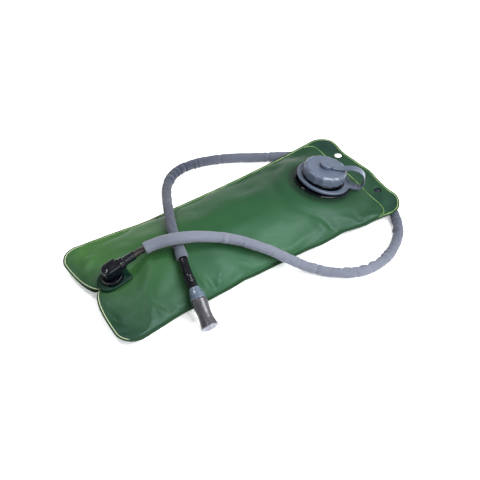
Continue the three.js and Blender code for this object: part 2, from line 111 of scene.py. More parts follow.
TUBE_ROUTE = [
    (-155.8, 4.9, 43.8), (-138.2, 5.6, 47.3), (-126, 4.4, 50.4), (-110, -1.6, 55.8),
    (-98, -9, 60.2), (-84.5, -16, 61.7), (-69.6, -21.6, 59.6), (-38.8, -33.8, 50.4),
    (-22, -45, 45), (-8, -57.4, 39.4), (6.4, -69, 32), (19.4, -81.4, 23.5),
    (33, -93.6, 14.6), (47, -106, 8.8), (61, -119.4, 6.6), (76, -131.6, 6.5),
    (99, -141.2, 6.5), (121, -141.8, 6.5), (142, -136.4, 6.5), (173, -116, 6.5),
    (183, -103, 6.5), (191, -89, 6.5), (203, -48, 6.5), (203, -8, 6.5),
    (190, 44, 6.5), (148, 86.5, 6.5), (123, 101, 6.5), (76, 129.5, 6.5),
    (50, 141, 6.5), (27, 147.4, 6.5), (4, 147.6, 6.8), (-17, 136.4, 9),
    (-36, 111.6, 15.2), (-49.2, 87.6, 24.6), (-62.6, 60.2, 36.8), (-81.7, 17.3, 47.2),
    (-92.8, -19, 46.8), (-103.2, -56, 37.8), (-105, -68.4, 33.9),
]
VALVE_START = Vector((-105, -69.2, 33.5))
TUBE_RADIUS = 4.1
SLEEVE = {"radius": 6.3, "inner": 5.3, "start": 29, "end": 40.5}
GATHERS = {"from": 50, "over": 60, "pitch": 10.5, "height": 3.6, "sunk": 1.7}
BOOT_RADIUS = 5.5
CAMERA = {"azimuth": -33.44, "elevation": 45.33, "roll": -0.26, "distance": 1.2677, "lens": 74.1}
CAMERA_TARGET = Vector((0.00251, -0.00598, 0))
LAMPS = [  # name, direction, distance, size, watts, colour
    ("key", (0.42, -0.42, 0.85), 1.6, 1.0, 37, (0.95, 0.98, 1)),
    ("front", (0.1, -0.9, 0.5), 1.6, 1.4, 15, (0.93, 0.97, 1)),
    ("kicker", (-0.34, 0.42, 0.85), 1.4, 0.14, 7, (1, 1, 1)),
    ("spark", (-0.05, -0.6, 0.8), 1.4, 0.06, 4, (1, 1, 1)),
]


# ---- Small helpers
def smooth(t):
    t = np.clip(t, 0.0, 1.0)
    return t * t * (3 - 2 * t)


def mix(a, b, t):
    return a + (b - a) * t


def bump(distance, width):
    """1 at no distance, falling off over width."""
    return np.exp(-((distance / width) ** 2))


def unit(rows):
    return rows / np.linalg.norm(rows, axis=1)[:, None]


def softened(points, radius, closed=True, steps=3):
    """A [radius, height] outline with its corners rounded off."""
    points = [Vector(p) for p in points]
    count = len(points)
    out = []
    for i, point in enumerate(points):
        if not closed and i in (0, count - 1):
            out.append(tuple(point))
            continue
        before, after = points[i - 1], points[(i + 1) % count]
        reach = min(radius, 0.45 * (point - before).length, 0.45 * (after - point).length)
        start = point + (before - point).normalized() * reach
        end = point + (after - point).normalized() * reach
        for k in range(steps + 1):
            t = k / steps
            out.append(tuple(start.lerp(point, t).lerp(point.lerp(end, t), t)))
    return out


def grid_faces(rows, columns, wrap_rows=False, wrap_columns=True):
    faces = []
    for i in range(rows if wrap_rows else rows - 1):
        for j in range(columns if wrap_columns else columns - 1):
            i2, j2 = (i + 1) % rows, (j + 1) % columns
            faces.append((i * columns + j, i * columns + j2, i2 * columns + j2, i2 * columns + j))
    return faces


def added(name, data):
    obj = bpy.data.objects.new(name, data)
    bpy.context.scene.collection.objects.link(obj)
    return obj


def make_mesh(name, points, faces, material, tidy=True):
    """A smooth-shaded object from points in millimetres in the row frame."""
    mesh = bpy.data.meshes.new(name)
    mesh.from_pydata((np.asarray(points, float) * MM).tolist(), [], faces)
    if tidy:
        shape = bmesh.new()
        shape.from_mesh(mesh)
        bmesh.ops.remove_doubles(shape, verts=shape.verts, dist=1e-6)
        bmesh.ops.recalc_face_normals(shape, faces=shape.faces)
        shape.to_mesh(mesh)
        shape.free()
    mesh.shade_smooth()
    mesh.materials.append(material)
    return added(name, mesh)


def settle(obj, body, replaces=()):
    """Gives a finished piece its body and the CAD nodes it stands for."""
    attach(obj, body)
    if replaces:
        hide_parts(*replaces)
    return obj


def mark(obj, name, values):
    """Stores one number or one vector per point, for the material to read by name."""
    kind, field = ("FLOAT_VECTOR", "vector") if values.ndim > 1 else ("FLOAT", "value")
    held = obj.data.attributes.new(name, kind, "POINT")
    held.data.foreach_set(field, values.astype(np.float32).ravel())


def weigh_normals(obj):
    modifier = obj.modifiers.new("flat faces stay flat", "WEIGHTED_NORMAL")
    modifier.keep_sharp = True
    return obj


def apply_modifiers(obj):
    """Replaces obj's mesh by what its modifiers make of it."""
    evaluated = obj.evaluated_get(bpy.context.evaluated_depsgraph_get())
    made = bpy.data.meshes.new_from_object(evaluated)
    obj.modifiers.clear()
    obj.data = made
    return obj


def joint_frame(name, origin=None):
    """A matrix from a joint's own axes to the row frame, in millimetres; its +X leans to the row's."""
    up, side = Vector(JOINTS[name]["axis"]).normalized(), Vector((1, 0, 0))
    across = (side - up * up.dot(side)).normalized()
    turn = Matrix((across, up.cross(across), up)).transposed()
    return Matrix.Translation(origin or Vector(JOINTS[name]["pos_m"]) / MM) @ turn.to_4x4()


def turn_about(axis, degrees):
    return Matrix.Rotation(math.radians(degrees), 4, axis)


def placed(points, matrix):
    grid = np.asarray(points, float)
    turn = np.array(matrix.to_3x3())
    return grid @ turn.T + np.array(matrix.translation)


def turned_points(profile, segments, shape=None):
    """The rows of a turned piece; shape(radius, angle, height) may push a point in or out."""
    angles = np.arange(segments) * 2 * math.pi / segments
    rows = []
    for radius, height in profile:
        radii = np.full(segments, float(radius))
        if shape:
            radii = shape(radii, angles, height)
        rows.append(np.stack([radii * np.cos(angles), radii * np.sin(angles),
                              np.full(segments, float(height))], axis=1))
    return np.concatenate(rows)


def turned(name, profile, segments, matrix, material, shape=None):
    points = placed(turned_points(profile, segments, shape), matrix)
    faces = grid_faces(len(profile), segments, wrap_rows=True)
    return weigh_normals(make_mesh(name, points, faces, material))


def fitting(name, outline, radius, segments, matrix, material, body, slot, node, closed=True):
    """A turned piece with rounded edges that stands for one CAD node."""
    profile = softened(outline, radius, closed=closed)
    return settle(turned(name, profile, segments, matrix, material), body, [node])


def joined(name, objects):
    """One object from several, which are removed."""
    shape = bmesh.new()
    for obj in objects:
        shape.from_mesh(obj.data)
    mesh = bpy.data.meshes.new(name)
    shape.to_mesh(mesh)
    shape.free()
    mesh.materials.append(objects[0].data.materials[0])
    for obj in objects:
        bpy.data.objects.remove(obj)
    return weigh_normals(added(name, mesh))


FILLER = joint_frame("cap_turn")
OUTLET = joint_frame("elbow_swivel")
TETHER = FILLER @ turn_about("Z", TETHER_ANGLE)
RING_RISE = RING_OUTER * math.sin(math.radians(RING_LEAN)) - RING_DROP
RING = TETHER @ Matrix.Translation((0, 0, RING_RISE)) @ turn_about("Y", RING_LEAN)
ELBOW = OUTLET @ turn_about("Z", ELBOW_TURN)
SPIGOT = ELBOW @ Matrix.Translation((0, 0, SPIGOT_HEIGHT)) @ turn_about("Y", 90)
VALVE = joint_frame("bite_pull", VALVE_START)


# ---- Materials
class Look:
    """A material under construction: its nodes are added by short calls."""

    def __init__(self, name, roughness, **values):
        self.material = bpy.data.materials.new(name)
        self.material.use_nodes = True
        self.nodes = self.material.node_tree.nodes
        self.links = self.material.node_tree.links
        self.shader = next(n for n in self.nodes if n.type == "BSDF_PRINCIPLED")
        self.shader.inputs["Roughness"].default_value = roughness
        for key, value in values.items():
            self.shader.inputs[key.replace("_", " ")].default_value = value
        self.place = self.nodes.new("ShaderNodeTexCoord").outputs["Object"]

    def node(self, kind, **inputs):
        made = self.nodes.new("ShaderNode" + kind)
        for key, value in inputs.items():
            if hasattr(made, key) and key != "Scale":
                setattr(made, key, value)
            else:
                self.feed(made.inputs[key.replace("_", " ")], value)
        return made

    def feed(self, socket, value):
        if isinstance(value, bpy.types.NodeSocket):
            self.links.new(value, socket)
        else:
            socket.default_value = value

    def noise(self, scale, detail=2.0, rough=0.5, place=None):
        made = self.node("TexNoise", Scale=scale, Detail=detail, Roughness=rough)
        self.links.new(place or self.place, made.inputs["Vector"])
        return made.outputs["Fac"]

    def range(self, value, low, high, to_low=0.0, to_high=1.0):
        ends = {"From_Min": low, "From_Max": high, "To_Min": to_low, "To_Max": to_high}
        return self.node("MapRange", Value=value, **ends).outputs["Result"]

    def math(self, operation, a, b=0.0):
        made = self.nodes.new("ShaderNodeMath")
        made.operation = operation
        self.feed(made.inputs[0], a)
        self.feed(made.inputs[1], b)
        return made.outputs["Value"]

    def blend(self, a, b, share):
        made = self.nodes.new("ShaderNodeMix")
        made.data_type = "RGBA"
        for socket, value in ((made.inputs["Factor"], share), (made.inputs["A"], a), (made.inputs["B"], b)):
            if isinstance(value, tuple):
                value = (*value, 1.0)
            self.feed(socket, value)
        return next(s for s in made.outputs if s.type == "RGBA")

    def mottled(self, a, b, scale, detail=2.0, rough=0.5):
        """Two tones with a soft noise of the given scale between them."""
        return self.blend(a, b, self.range(self.noise(scale, detail, rough), 0.3, 0.7))

    def attribute(self, name):
        return self.node("Attribute", attribute_name=name)

    def color(self, value):
        self.feed(self.shader.inputs["Base Color"], value)

    def rough(self, low, high, marks):
        self.feed(self.shader.inputs["Roughness"], self.range(marks, 0.3, 0.7, low, high))

    def raise_by(self, height, distance, strength=1.0):
        made = self.node("Bump", Strength=strength, Distance=distance, Height=height)
        self.links.new(made.outputs["Normal"], self.shader.inputs["Normal"])


def film_look():
    """Green film: painted light makes the far lobe lighter and yellower; painted shade darkens both ends,
    the near lobe and blotches over the header strip; round the flange it is darker from the black flange
    seen through the film and from painted shade.
    """
    look = Look("green_film", 0.4, Specular_IOR_Level=0.24, Specular_Tint=(0.75, 0.9, 1.0, 1.0))
    split = look.node("SeparateXYZ", Vector=look.place)
    x, y = split.outputs["X"], split.outputs["Y"]
    far_lobe = look.math("SUBTRACT", look.math("MULTIPLY", y, 0.7), x)
    near_lobe = look.math("SUBTRACT", look.math("MULTIPLY", y, -0.9), x)
    header_shade_blotches = look.range(look.noise(30, 1), 0.4, 0.6)
    from_flange = look.nodes.new("ShaderNodeVectorMath")
    from_flange.operation = "DISTANCE"
    look.feed(from_flange.inputs[0], look.place)
    look.feed(from_flange.inputs[1], tuple((FILLER.translation - Vector((5, 1, 0))) * MM))
    broad = look.range(look.noise(9, 2), 0.35, 0.65)
    base = look.blend((0.0078, 0.043, 0.0145), (0.0135, 0.06, 0.0172), broad)
    for tone, share in (
        # painted light: the far lobe lighter and yellower
        ((0.034, 0.098, 0.019), look.range(far_lobe, 0.02, 0.26, 0.0, 0.85)),
        # painted shade over the near lobe towards the outlet end
        ((0.0035, 0.022, 0.0105), look.range(near_lobe, 0.14, 0.27, 0.0, 0.9)),
        # painted shade: darker towards the header end
        ((0.0062, 0.0275, 0.0112), look.range(x, 0.0, 0.15, 0.0, 0.8)),
        # painted shade where the film falls to the outlet end weld
        ((0.004, 0.021, 0.0125), look.range(x, -0.184, -0.207, 0.0, 0.6)),
        # painted shade in blotches over the header strip
        ((0.004, 0.017, 0.013), look.math("MULTIPLY", header_shade_blotches, look.range(x, 0.178, 0.19, 0.0, 0.8))),
        # darker round the flange: the black flange seen through the film, and painted shade round its edge
        ((0.0035, 0.012, 0.006), look.range(from_flange.outputs["Value"], 0.04, 0.0475, 0.85, 0.0)),
        ((0.008, 0.028, 0.009), look.attribute("rim").outputs["Fac"]),
    ):
        base = look.blend(base, tone, share)
    look.color(base)
    grain = look.noise(260, 3)
    look.rough(0.44, 0.54, grain)
    look.raise_by(look.math("ADD", look.math("MULTIPLY", look.noise(900, 2), 0.35), grain), 0.00012, 0.5)
    return look.material


def weld_look():
    look = Look("weld_bead", 0.3)
    tone = look.blend((0.07, 0.15, 0.03), (0.25, 0.34, 0.12), look.range(look.noise(90, 3), 0.35, 0.65))
    along = look.node("SeparateXYZ", Vector=look.place).outputs["X"]
    # the bead is a lighter yellow-green; its whitish cream towards the outlet end is a painted highlight
    look.color(look.blend((0.42, 0.46, 0.29), tone, look.range(along, -0.2, -0.17)))
    look.raise_by(look.noise(700, 2), 0.0002)
    return look.material


def moulded_look(name, dark, light, roughness, gloss=0.5, grain=0.00006):
    """Moulded plastic: a fine spark-eroded grain, faint flow marks and slightly rubbed patches."""
    look = Look(name, roughness, Specular_IOR_Level=gloss)
    look.color(look.mottled(dark, light, 55, 3, 0.6))
    look.rough(roughness - 0.06, roughness + 0.08, look.noise(140, 2))
    look.raise_by(look.noise(900, 3), grain, 0.6)
    return look.material


def tube_look():
    look = Look("tube_rubber", 0.28, Specular_IOR_Level=0.25)
    look.color(look.mottled((0.004, 0.0025, 0.0025), (0.009, 0.006, 0.0055), 60))
    look.rough(0.24, 0.36, look.noise(220, 2))
    look.raise_by(look.noise(500, 2), 0.00005)
    return look.material


def sleeve_look():
    """Woven cloth: two sets of threads from the sleeve's own lengths, with heathered yarn and painted shade
    along the lengths beside and behind the bag.
    """
    look = Look("woven_sleeve", 0.9, Sheen_Weight=0.12, Sheen_Roughness=0.5)
    pitch = 0.9
    thread = look.attribute("thread").outputs["Vector"]
    split = look.node("SeparateXYZ", Vector=thread)
    warp, weft = (
        look.math("SINE", look.math("MULTIPLY", split.outputs[way], 2 * math.pi / pitch)) for way in "XY"
    )
    weave = look.math("MULTIPLY", warp, weft)
    yarn = look.noise(0.9, 3, 0.6, thread)
    cloud = look.noise(0.09, 2, 0.5, thread)
    tone = look.blend((0.084, 0.092, 0.122), (0.15, 0.163, 0.207), look.range(yarn, 0.3, 0.7))
    tone = look.blend(tone, (0.12, 0.13, 0.167), look.range(cloud, 0.3, 0.7, 0.0, 0.7))
    along = split.outputs["X"]
    # painted shade on the loops beside and behind the bag, eased off at the back and near the end
    shade_along_sleeve = look.range(along, 320, 420, 0.0, 0.86)
    for start, end, change in ((500, 600, -0.42), (700, 770, 0.52), (930, 980, -0.4)):
        shade_along_sleeve = look.math("ADD", shade_along_sleeve, look.range(along, start, end, 0.0, change))
    tone = look.blend(tone, (0.016, 0.022, 0.042), shade_along_sleeve)
    look.color(look.blend(tone, (0.04, 0.045, 0.062), look.range(weave, -1.0, 1.0, 0.3, 0.0)))
    look.raise_by(look.math("ADD", weave, look.math("MULTIPLY", yarn, 1.5)), 0.00022, 0.6)
    return look.material


def collar_look():
    look = Look("blue_clear", 0.22, Transmission_Weight=0.5, IOR=1.4)
    look.color(look.mottled((0.1, 0.135, 0.19), (0.16, 0.2, 0.26), 90))
    look.raise_by(look.noise(400, 2), 0.00006)
    return look.material


def silicone_look():
    look = Look("smoke_silicone", 0.3, Specular_IOR_Level=0.45)
    smoke = look.mottled((0.028, 0.0265, 0.031), (0.046, 0.044, 0.05), 70, 3)
    # painted light: the end face paler and bluish, as if lit from below
    look.color(look.blend(smoke, (0.15, 0.155, 0.19), look.attribute("tip_painted_light").outputs["Fac"]))
    look.rough(0.22, 0.3, look.noise(160, 2))
    fine = look.math("MULTIPLY", look.noise(420, 2), 0.1)
    look.raise_by(look.math("ADD", look.noise(120, 2), fine), 0.00018, 0.5)
    return look.material


FILM = film_look()
WELD = weld_look()
SLATE = moulded_look("slate_plastic", (0.05, 0.065, 0.096), (0.064, 0.081, 0.118), 0.34)
BLACK = moulded_look("black_plastic", (0.0012, 0.0015, 0.003), (0.0025, 0.003, 0.006), 0.12, 0.22, 0.00002)
PATCH = moulded_look("patch_green", (0.002, 0.014, 0.008), (0.0035, 0.021, 0.012), 0.34, 0.12)
SEAL = moulded_look("seal_rubber", (0.015, 0.016, 0.018), (0.03, 0.03, 0.033), 0.6)
TUBE = tube_look()
SLEEVE_CLOTH = sleeve_look()
COLLAR = collar_look()
SILICONE = silicone_look()


# ---- The film bag
WAVES = [  # side, place along it, how far it moves out, how far along
    ("far", -85, -3, 32), ("near", -38, -1.6, 11), ("near", -130, -1.8, 26), ("near", 112, -2.2, 11),
    ("near", 20, 0.7, 9), ("near", 76, 1.3, 12), ("near", 143, 1.3, 10),
    ("header", 44, -3.2, 17), ("header", -8, 3, 17), ("header", -62, 1.8, 9),
]
FOLDS = [  # x, y, heading in degrees, half length, half width, height
    (-184, 50, 25, 16, 7, 2.4), (-192, 26, 62, 13, 6, -3.4), (-188, -15, -62, 13, 6, -2.8),
    (-200, -46, -80, 12, 5, -2.4), (-162, -64, 62, 14, 5.5, 1.1), (-141, -68, -52, 13, 5, -1.2),
    (-150, -72, -70, 10, 4, 0.7), (-86, -66, -80, 12, 3.6, 1.3), (-77, -70, -84, 12, 3.4, -1.8),
    (-67, -67, 52, 13, 4, 1.2), (-48, -72, 12, 13, 4, -1.8), (-30, -64, -38, 13, 5, 1.6),
    (-8, -74, 4, 14, 3.6, 1.2), (24, -72, -28, 10, 4, -1.1), (55, -66, 4, 24, 6, 1.2),
    (88, -64, -70, 14, 6, 1.7), (101, -70, -72, 12, 5, -2.3), (124, -68, -20, 17, 6, 1.8),
    (141, -76, -66, 9, 5, -1.8), (162, -77, -18, 13, 5, 1.5), (150, 74, 24, 18, 6, -1.4),
    (60, 73, 5, 24, 4, -0.8), (-20, 72, -4, 22, 4, -0.9), (-130, 74, 3, 20, 5, -1.2),
]
HEADER_DIPS = [  # x, y, width, height
    (190, -62, 7, 1.5), (196, -76, 6, -0.8), (186, 30, 9, 1.8), (192, 2, 9, -0.7), (187, -24, 8, 1.5),
    (196, 66, 9, 1.5),
]
SETTLED = {"cells": (150, 76), "relief": None}
CLOTH = {"steps": 30, "pressure": 0.6, "shrink": -0.02, "furthest": 4, "share": 0.75, "smoothings": 6}


def edge_half_width(x):
    straight = HALF_LENGTH - CORNER_RADIUS
    past = np.clip(np.abs(x) - straight, 0, CORNER_RADIUS)
    side = HALF_WIDTH - SIDE_DIP * (1 - (x / straight) ** 2)
    corner = HALF_WIDTH - CORNER_RADIUS + np.sqrt(CORNER_RADIUS**2 - past**2)
    return np.where(np.abs(x) <= straight, side, corner)


def inset_from_edge(x, y):
    """How far a point of the flat bag lies inside its outline."""
    beside = np.abs(x) < HALF_LENGTH - CORNER_RADIUS
    from_side = np.where(beside, edge_half_width(x), HALF_WIDTH) - np.abs(y)
    from_end = HALF_LENGTH - np.abs(x)
    past_side, past_end = CORNER_RADIUS - from_side, CORNER_RADIUS - from_end
    round_corner = CORNER_RADIUS - np.hypot(past_side, past_end)
    return np.where((past_side > 0) & (past_end > 0), round_corner, np.minimum(from_side, from_end))


def notch_pull(x, y):
    fold = np.exp(-np.abs(y - NOTCH["y"]) / NOTCH["half_width"])
    return fold * smooth((-x - HALF_LENGTH + NOTCH["reach"]) / NOTCH["reach"])


def seam_height(x, y):
    seam = mix(SEAM["outlet"], SEAM["header"], np.clip(x / (2 * HALF_LENGTH) + 0.5, 0, 1))
    tucked = 1.2 - 2.2 * smooth((y - NOTCH["y"] + 5) / 10)
    return seam + NOTCH["rise"] * notch_pull(x, y) * tucked + header_relief(x, y)


def header_relief(x, y):
    total = 0 * x
    for at_x, at_y, width, height in HEADER_DIPS:
        total = total + height * bump(np.hypot(x - at_x, y - at_y), width)
    return total * smooth((x - 176) / 10)


def fullness(x, y, end_x, power_x, power_y):
    middle = (OUTLET_WELD_X + end_x) / 2
    along = np.minimum(1, np.abs(x - middle) / (end_x - middle))
    across = np.minimum(1, np.abs(y) / (edge_half_width(x) - 5))
    return (1 - along**power_x) * (1 - across**power_y) ** 0.75


def held_flat(z, x, y, centre, slope, height, radius, blend):
    """The film's height with a sloping disc held flat round a fitting."""
    away = np.hypot(x - centre[0], y - centre[1]) - radius
    return mix(height + slope * (x - centre[0]), z, smooth(away / blend))


def fold_relief(x, y):
    total = 0 * x
    for at_x, at_y, heading, length, width, height in FOLDS:
        turn = math.radians(heading)
        along = (x - at_x) * math.cos(turn) + (y - at_y) * math.sin(turn)
        across = (y - at_y) * math.cos(turn) - (x - at_x) * math.sin(turn)
        total = total + height * bump(along, length) * bump(across, width)
    return total * smooth((inset_from_edge(x, y) - 3.5) / 7)


def upper_height(x, y):
    seam = seam_height(x, y) + SEAM_LIFT
    full = fullness(x, y, HEADER_WELD_X, 3.2, 2.4)
    z = seam + (CROWN - seam) * full + fold_relief(x, y)
    filler, outlet = FILLER.translation, OUTLET.translation
    filler_slope = -math.tan(math.radians(FILLER_TILT))
    outlet_slope = math.tan(math.radians(OUTLET_TILT))
    z = z + settled_relief(x, y)
    z = held_flat(z, x, y, (filler.x, filler.y), filler_slope, filler.z - 0.3, **FLANGE_FLAT)
    middle = outlet.x - 2.5
    patch_height = outlet.z - 2.45 + outlet_slope * (middle - outlet.x)
    return held_flat(z, x, y, (middle, outlet.y), outlet_slope, patch_height, **PATCH_FLAT)


def lower_height(x, y):
    seam = seam_height(x, y) - SEAM_LIFT
    full = fullness(x, y, LIFT_X, 4, 3.4)
    return np.maximum(0.0, seam * (1 - 1.45 * full))


def outline_shift(x, y):
    """How the seam's waves and its notch move a point of the flat bag sideways."""
    near_side = smooth((np.abs(y) - 45) / 40)
    near_header = smooth((x - 175) / 30)
    pinch = np.exp(-np.abs(y - NOTCH["y"]) / 5) * smooth((-x - HALF_LENGTH + 24) / 24)
    shift_x = NOTCH["depth"] * notch_pull(x, y) + 3.5 * pinch
    shift_y = 0 * y
    for side, at, out, reach in WAVES:
        if side == "header":
            shift_x = shift_x + out * bump(y - at, reach) * near_header
        else:
            sign = 1 if side == "far" else -1
            shift_y = shift_y + sign * out * bump(x - at, reach) * near_side * (sign * y > 0)
    return shift_x, shift_y


def crowded(share, amount):
    """Steps from -1 to 1 that crowd towards both ends."""
    t = share * 2 - 1
    return t + amount * np.sin(t * math.pi) / math.pi


def grid_steps(columns, rows):
    along = crowded(np.linspace(0, 1, columns + 1), 0.62) * HALF_LENGTH
    return along, crowded(np.linspace(0, 1, rows + 1), 0.66)


def flat_grid(columns, rows):
    along, across = grid_steps(columns, rows)
    x = along[:, None] + 0 * across[None, :]
    return x, across[None, :] * edge_half_width(x)


def settled_relief(x, y):
    """What the settled film stands above its drawn shape, read from the settled grid."""
    if SETTLED["relief"] is None:
        return 0 * x
    relief = SETTLED["relief"]
    along, across = grid_steps(*SETTLED["cells"])
    u = np.interp(x, along, np.arange(len(along)))
    v = np.interp(y / edge_half_width(x), across, np.arange(len(across)))
    i = np.minimum(u.astype(int), len(along) - 2)
    j = np.minimum(v.astype(int), len(across) - 2)
    low = mix(relief[i, j], relief[i, j + 1], v - j)
    high = mix(relief[i + 1, j], relief[i + 1, j + 1], v - j)
    return mix(low, high, u - i)


def settle_film():
    """Wrinkles the upper film as cloth that is cut a little large and held at its welds and fittings."""
    columns, rows = SETTLED["cells"]
    x, y = flat_grid(columns, rows)
    z = upper_height(x, y)
    grid = np.stack([x, y, z], axis=-1).reshape(-1, 3)
    faces = [face[::-1] for face in grid_faces(columns + 1, rows + 1, wrap_columns=False)]
    obj = make_mesh("settling", grid, faces, FILM, tidy=False)
    from_filler = np.hypot(x - FILLER.translation.x, y)
    from_outlet = np.hypot(x - OUTLET.translation.x + 3, y - OUTLET.translation.y)
    welded = (inset_from_edge(x, y) < 5) | (x > HEADER_WELD_X - 1)
    held = welded | (from_filler < FLANGE_FLAT["radius"]) | (from_outlet < 22)
    group = obj.vertex_groups.new(name="held")
    group.add(np.flatnonzero(held).tolist(), 1.0, "REPLACE")
    cloth = obj.modifiers.new("settling", "CLOTH")
    settings = cloth.settings
    settings.vertex_group_mass = "held"
    settings.quality, settings.mass, settings.air_damping = 8, 0.05, 2
    settings.tension_stiffness = settings.compression_stiffness = 25
    settings.shear_stiffness, settings.bending_stiffness = 10, 0.06
    settings.shrink_min = settings.shrink_max = CLOTH["shrink"]
    settings.use_pressure, settings.uniform_pressure_force = True, CLOTH["pressure"]
    settings.effector_weights.gravity = 0
    cloth.collision_settings.use_collision = False
    scene = bpy.context.scene
    for step in range(1, CLOTH["steps"] + 1):
        scene.frame_set(step)
    evaluated = obj.evaluated_get(bpy.context.evaluated_depsgraph_get())
    heights = np.array([v.co.z for v in evaluated.data.vertices]) / MM
    moved = np.clip(heights.reshape(z.shape) - z, -CLOTH["furthest"], CLOTH["furthest"]) * CLOTH["share"]
    for _ in range(CLOTH["smoothings"]):
        moved[1:-1, 1:-1] = 0.5 * moved[1:-1, 1:-1] + 0.125 * (
            moved[2:, 1:-1] + moved[:-2, 1:-1] + moved[1:-1, 2:] + moved[1:-1, :-2])
    SETTLED["relief"] = moved
    bpy.data.objects.remove(obj)
    scene.frame_set(1)


def film_sheet(name, height_at, faces_up, holes, columns=300, rows=160):
    """One of the bag's two films as an open sheet, with round holes punched in it."""
    x, y = flat_grid(columns, rows)
    shift_x, shift_y = outline_shift(x, y)
    points = np.stack([x + shift_x, y + shift_y, height_at(x, y)], axis=-1).reshape(-1, 3)
    faces = np.array(grid_faces(columns + 1, rows + 1, wrap_columns=False))
    faces = faces[:, ::-1] if faces_up else faces
    for centre_x, centre_y, radius in holes:
        away = np.hypot(points[:, 0] - centre_x, points[:, 1] - centre_y)
        inside = away < radius
        faces = faces[~inside[faces].any(axis=1)]
        near = (away >= radius) & (away < radius + 2.2)
        on_rim = np.isin(np.arange(len(points)), rim_points(faces)) & near
        pull = radius / away[on_rim]
        points[on_rim, 0] = centre_x + (points[on_rim, 0] - centre_x) * pull
        points[on_rim, 1] = centre_y + (points[on_rim, 1] - centre_y) * pull
    obj = make_mesh(name, points, faces.tolist(), FILM, tidy=False)
    inset = inset_from_edge(x, y).ravel()
    mark(obj, "rim", 1 - smooth((inset - 2.2) / 2.5))
    loose = bmesh.new()
    loose.from_mesh(obj.data)
    bmesh.ops.delete(loose, geom=[v for v in loose.verts if not v.link_faces], context="VERTS")
    loose.to_mesh(obj.data)
    loose.free()
    return obj


def rim_points(faces):
    """The points on the open edges of a quad sheet."""
    sides = np.concatenate([faces[:, [k, (k + 1) % 4]] for k in range(4)])
    keys, counts = np.unique(np.sort(sides, axis=1), axis=0, return_counts=True)
    return np.unique(keys[counts == 1])


def thicken(obj):
    modifier = obj.modifiers.new("film thickness", "SOLIDIFY")
    modifier.thickness = FILM_THICKNESS * MM
    modifier.offset = -1
    return apply_modifiers(obj)


def hang_holes():
    return [(HOLES["x"], side * HOLES["y"], HOLES["radius"]) for side in (-1, 1)]


def upper_film():
    filler = (FILLER.translation.x, FILLER.translation.y, 27)
    outlet = (OUTLET.translation.x, OUTLET.translation.y, 8)
    sheet = film_sheet("film_upper", upper_height, True, [*hang_holes(), filler, outlet])
    return settle(thicken(sheet), "root", ["upper_film", "header_strip"])


def lower_film():
    sheet = film_sheet("film_lower", lower_height, False, hang_holes())
    return settle(thicken(sheet), "root", ["lower_film"])


def bead(name, route, radius):
    """A thin weld bead along a route over the flat bag; it sinks in on the near side's down-turned edge."""
    x, y = (np.array(values, float) for values in zip(*route))
    sink = 0.1 + 0.75 * smooth((-y - 68) / 12) * smooth((206 + x) / 16) * smooth((170 - x) / 14)
    shift_x, shift_y = outline_shift(x, y)
    middle = np.stack([x + shift_x, y + shift_y, upper_height(x, y) - sink], axis=1)
    along = unit(np.gradient(middle, axis=0))
    side = unit(np.cross(along, (0, 0, 1)))
    up = np.cross(side, along)
    angles = np.arange(8) * math.pi / 4
    ring = [middle + radius * (math.cos(a) * side + 0.8 * math.sin(a) * up) for a in angles]
    points = np.stack(ring, axis=1).reshape(-1, 3)
    return make_mesh(name, points, grid_faces(len(route), 8), WELD)


def perimeter_route(inset, steps=900):
    """Points round the flat bag at a given inset from its outline."""
    route = []
    for k in range(steps + 1):
        turn = 2 * math.pi * k / steps
        direction = np.array([math.cos(turn), math.sin(turn)])
        low, high = 0.0, 260.0
        for _ in range(24):
            reach = (low + high) / 2
            x, y = direction * reach
            inside = abs(x) < HALF_LENGTH and inset_from_edge(np.array(x), np.array(y)) > inset
            low, high = (reach, high) if inside else (low, reach)
        route.append(tuple(direction * low))
    return route


def header_route():
    """The header weld: straight across, and turned back into the side welds at both ends."""
    corners = [
        (168, 82.2), (175, 80.5), (181, 74), (182, 66), (182, 40), (182, 0), (182, -40), (182, -66),
        (181, -74), (176, -81), (169, -82.2),
    ]
    line = smooth_line([Vector((x, y, 0)) for x, y in corners], 160)
    return [(p[0], p[1]) for p in line]


def smooth_line(points, count):
    """Evenly spaced points on a centripetal Catmull-Rom curve through the given ones."""
    points = [np.array(p, float) for p in points]
    points = [2 * points[0] - points[1], *points, 2 * points[-1] - points[-2]]
    fine = []
    for p0, p1, p2, p3 in zip(points, points[1:], points[2:], points[3:]):
        d0, d1, d2 = (math.sqrt(np.linalg.norm(b - a)) for a, b in ((p0, p1), (p1, p2), (p2, p3)))
        t1 = ((p1 - p0) / d0 - (p2 - p0) / (d0 + d1) + (p2 - p1) / d1) * d1
        t2 = ((p2 - p1) / d1 - (p3 - p1) / (d1 + d2) + (p3 - p2) / d2) * d1
        for k in range(40):
            t = k / 40
            h00, h10 = 2 * t**3 - 3 * t**2 + 1, t**3 - 2 * t**2 + t
            fine.append(h00 * p1 + h10 * t1 + (1 - h00) * p2 + (t**3 - t**2) * t2)
    fine.append(points[-2])
    fine = np.array(fine)
    lengths = np.concatenate([[0], np.cumsum(np.linalg.norm(np.diff(fine, axis=0), axis=1))])
    at = np.linspace(0, lengths[-1], count)
    return np.stack([np.interp(at, lengths, fine[:, k]) for k in range(3)], axis=1)


def weld_beads():
    settle(bead("weld_rim", perimeter_route(2.4), 0.5), "root")
    settle(bead("weld_header", header_route(), 0.5), "root")


